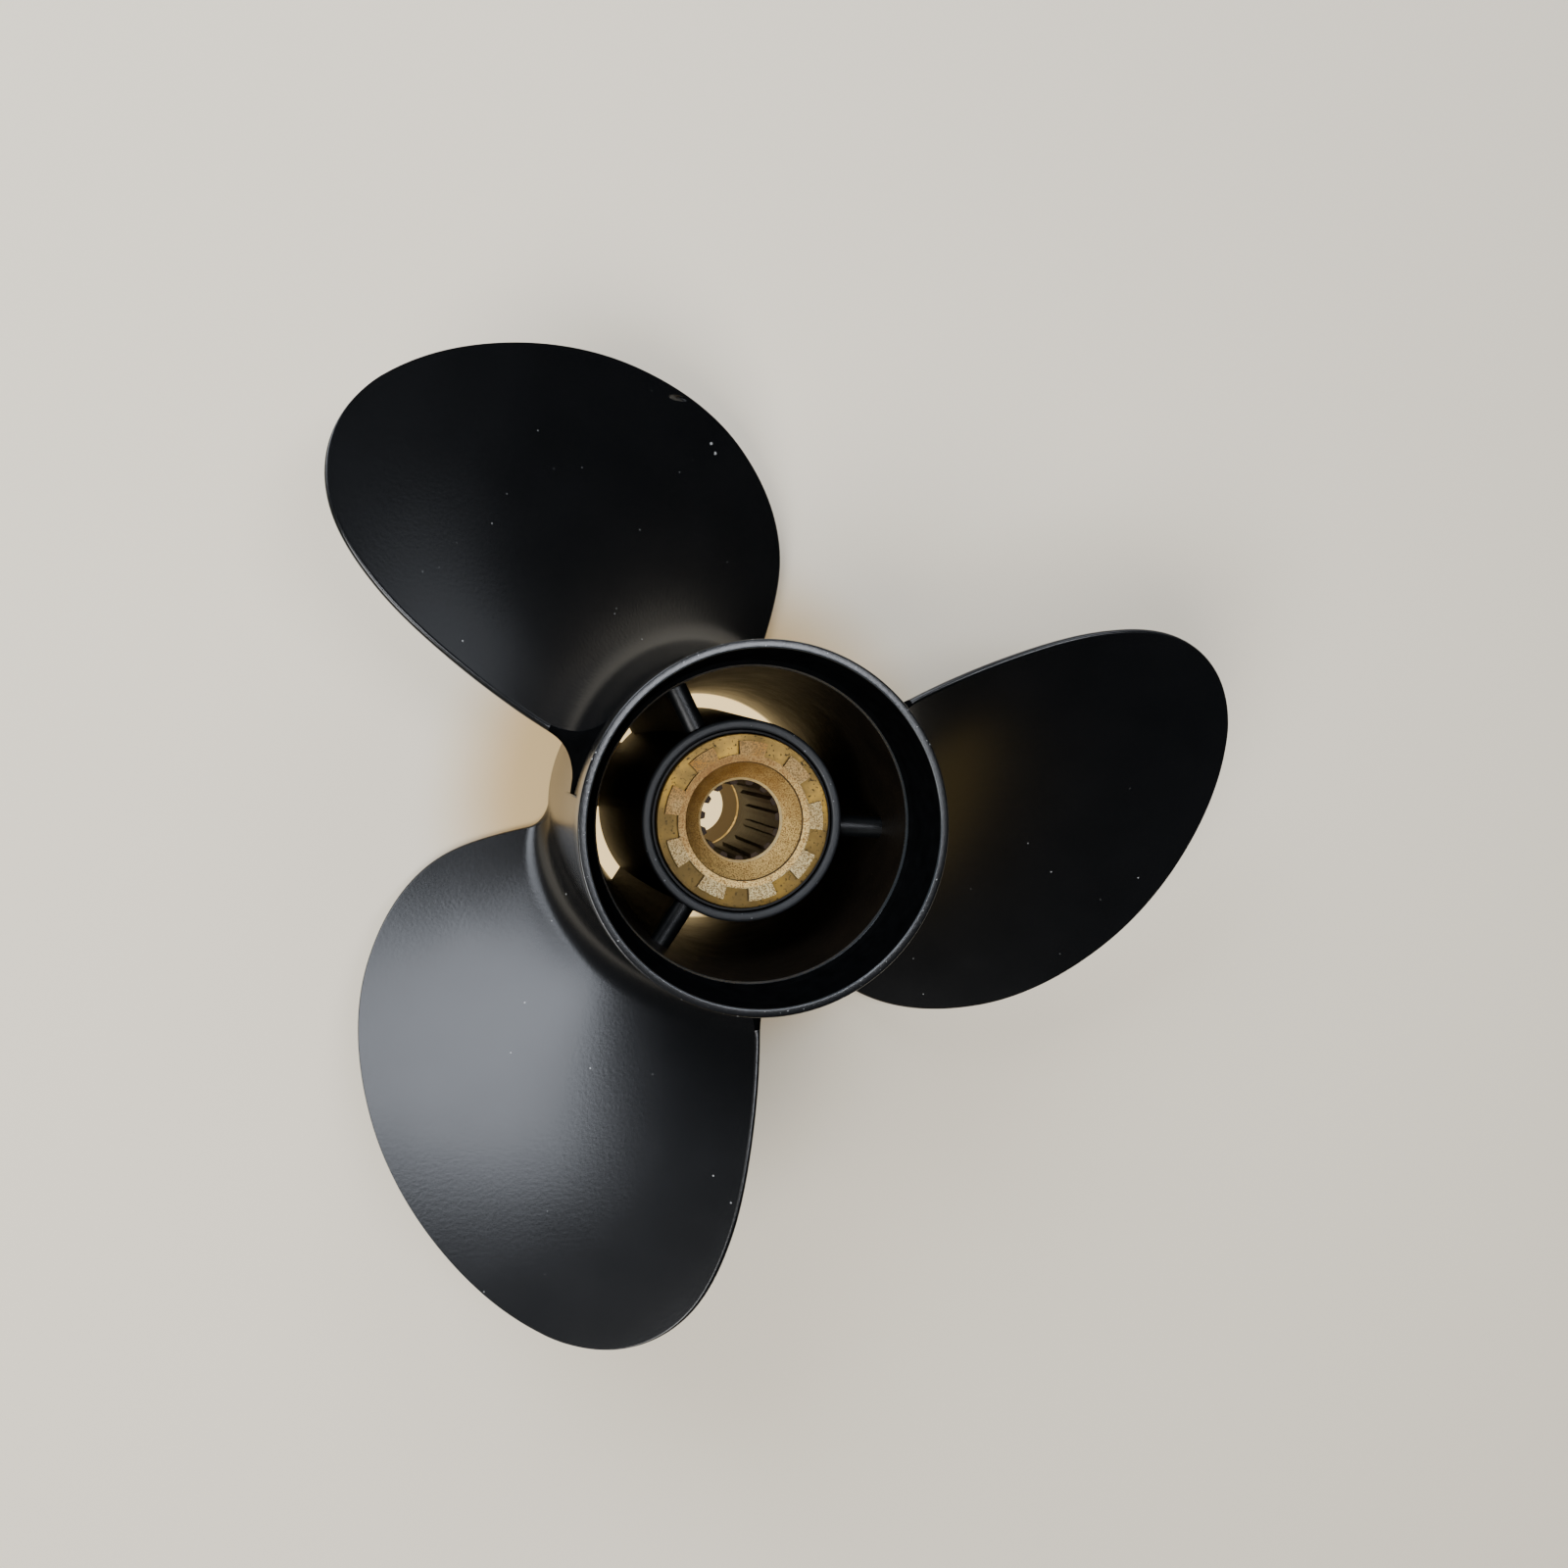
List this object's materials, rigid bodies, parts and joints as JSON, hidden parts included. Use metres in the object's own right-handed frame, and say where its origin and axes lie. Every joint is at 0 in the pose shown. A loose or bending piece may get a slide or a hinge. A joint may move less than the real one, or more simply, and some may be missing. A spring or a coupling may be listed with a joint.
{
  "type": "boat propeller",
  "caption": "Right-hand boat propeller with raked blades on a through-hub exhaust barrel, and a splined brass drive sleeve in a rubber cushion.",
  "frame": {"origin": "on the propeller axis, in the plane of the barrel's forward face, which is what it stands on", "axes": "+Z along the propeller axis towards the aft (exhaust) end; +X 7.6 degrees ahead of the first blade's reference line, counter-clockwise seen from aft"},
  "size_m": [0.3221, 0.3458, 0.143],
  "materials": {
    "satin_black_paint": "cast aluminium under satin black paint with a fine orange peel",
    "black_rubber": "moulded black rubber",
    "cast_brass": "sand-cast brass, tarnished olive and brown, with bright worn edges"
  },
  "bodies": {
    "root": {"propeller_casting": "satin_black_paint", "cushion_bush": "black_rubber", "drive_sleeve": "cast_brass"}
  },
  "joints": []
}
